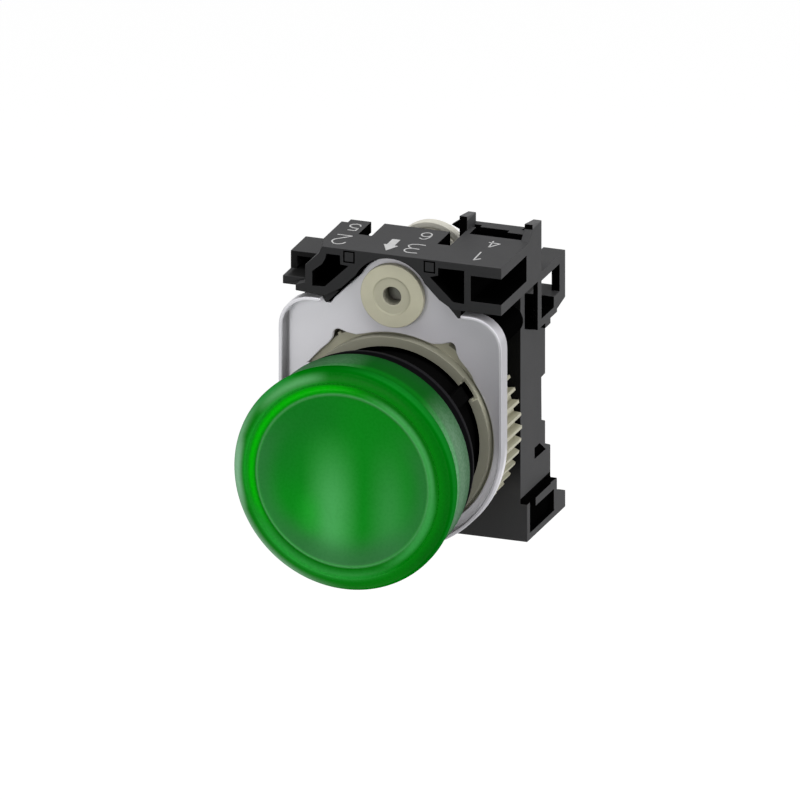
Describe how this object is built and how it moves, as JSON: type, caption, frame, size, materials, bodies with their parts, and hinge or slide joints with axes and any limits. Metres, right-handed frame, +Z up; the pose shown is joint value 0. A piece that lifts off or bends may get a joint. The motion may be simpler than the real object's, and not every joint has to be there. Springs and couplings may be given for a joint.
{
  "type": "panel pilot light",
  "caption": "Round pilot light for a panel cut-out: domed-rim green lens and sleeve in front, screw-clamped holder with module bays behind.",
  "frame": {"origin": "on the head's axis at the panel's front face, where the gasket seals", "axes": "+X right as the operator sees it, +Y from the operator into the panel along the head axis, +Z up"},
  "size_m": [0.0298, 0.0413, 0.0417],
  "materials": {
    "lens_green": "translucent green polycarbonate, polished",
    "opal": "opal",
    "white_plastic": "moulded white",
    "black_gloss": "smooth moulded black",
    "black_plastic": "fine moulded texture, black",
    "rubber_black": "moulded",
    "zinc_plate": "zinc-plated, satin",
    "ivory": "moulded ivory",
    "ivory_light": "moulded, light ivory",
    "steel": "zinc-plated",
    "steel_yellow": "yellow passivated",
    "module_grey": "moulded grey",
    "clear": "clear",
    "board_green": "solder mask",
    "lamp_green": "green epoxy",
    "resistor_blue": "lacquered",
    "chip_black": "moulded",
    "limiter_blue": "dipped epoxy",
    "copper_tinned": "tinned copper",
    "spring_steel": "spring steel",
    "button_orange": "moulded"
  },
  "bodies": {
    "root": {"lens": "lens_green", "lens_seal": "rubber_black", "diffuser": "opal", "reflector": "white_plastic", "head_body": "black_gloss", "panel_gasket": "rubber_black", "front_plate": "zinc_plate", "module_carrier": "black_plastic", "clamp_nut": "steel_yellow", "module_housing": "module_grey", "module_cover": "module_grey", "led_window": "clear", "led_board": "board_green", "led_lamp": "lamp_green", "dropping_resistors": "resistor_blue", "bridge_rectifier": "chip_black", "surge_limiter": "limiter_blue", "terminal_bars": "copper_tinned", "terminal_springs": "spring_steel", "release_buttons": "button_orange"},
    "ring": {"locking_ring": "ivory"},
    "pad": {"clamp_pad": "ivory"},
    "screw": {"clamp_screw": "steel", "clamp_knob": "ivory_light"}
  },
  "joints": [
    {"name": "ring_turn", "type": "hinge", "parent": "root", "child": "ring", "pos_m": [0, 0, 0], "axis": [0, -1, 0], "range_deg": [0, 30]},
    {"name": "pad_travel", "type": "slide", "parent": "root", "child": "pad", "axis": [0, -1, 0], "range_m": [0, 0.006]},
    {"name": "screw_turn", "type": "hinge", "parent": "pad", "child": "screw", "pos_m": [0, 0, 0.01845], "axis": [0, -1, 0], "range_deg": [0, 3090]}
  ],
  "couplings": [
    {"joint": "screw_turn", "follows": "pad_travel", "rad_per_m": 8976}
  ]
}
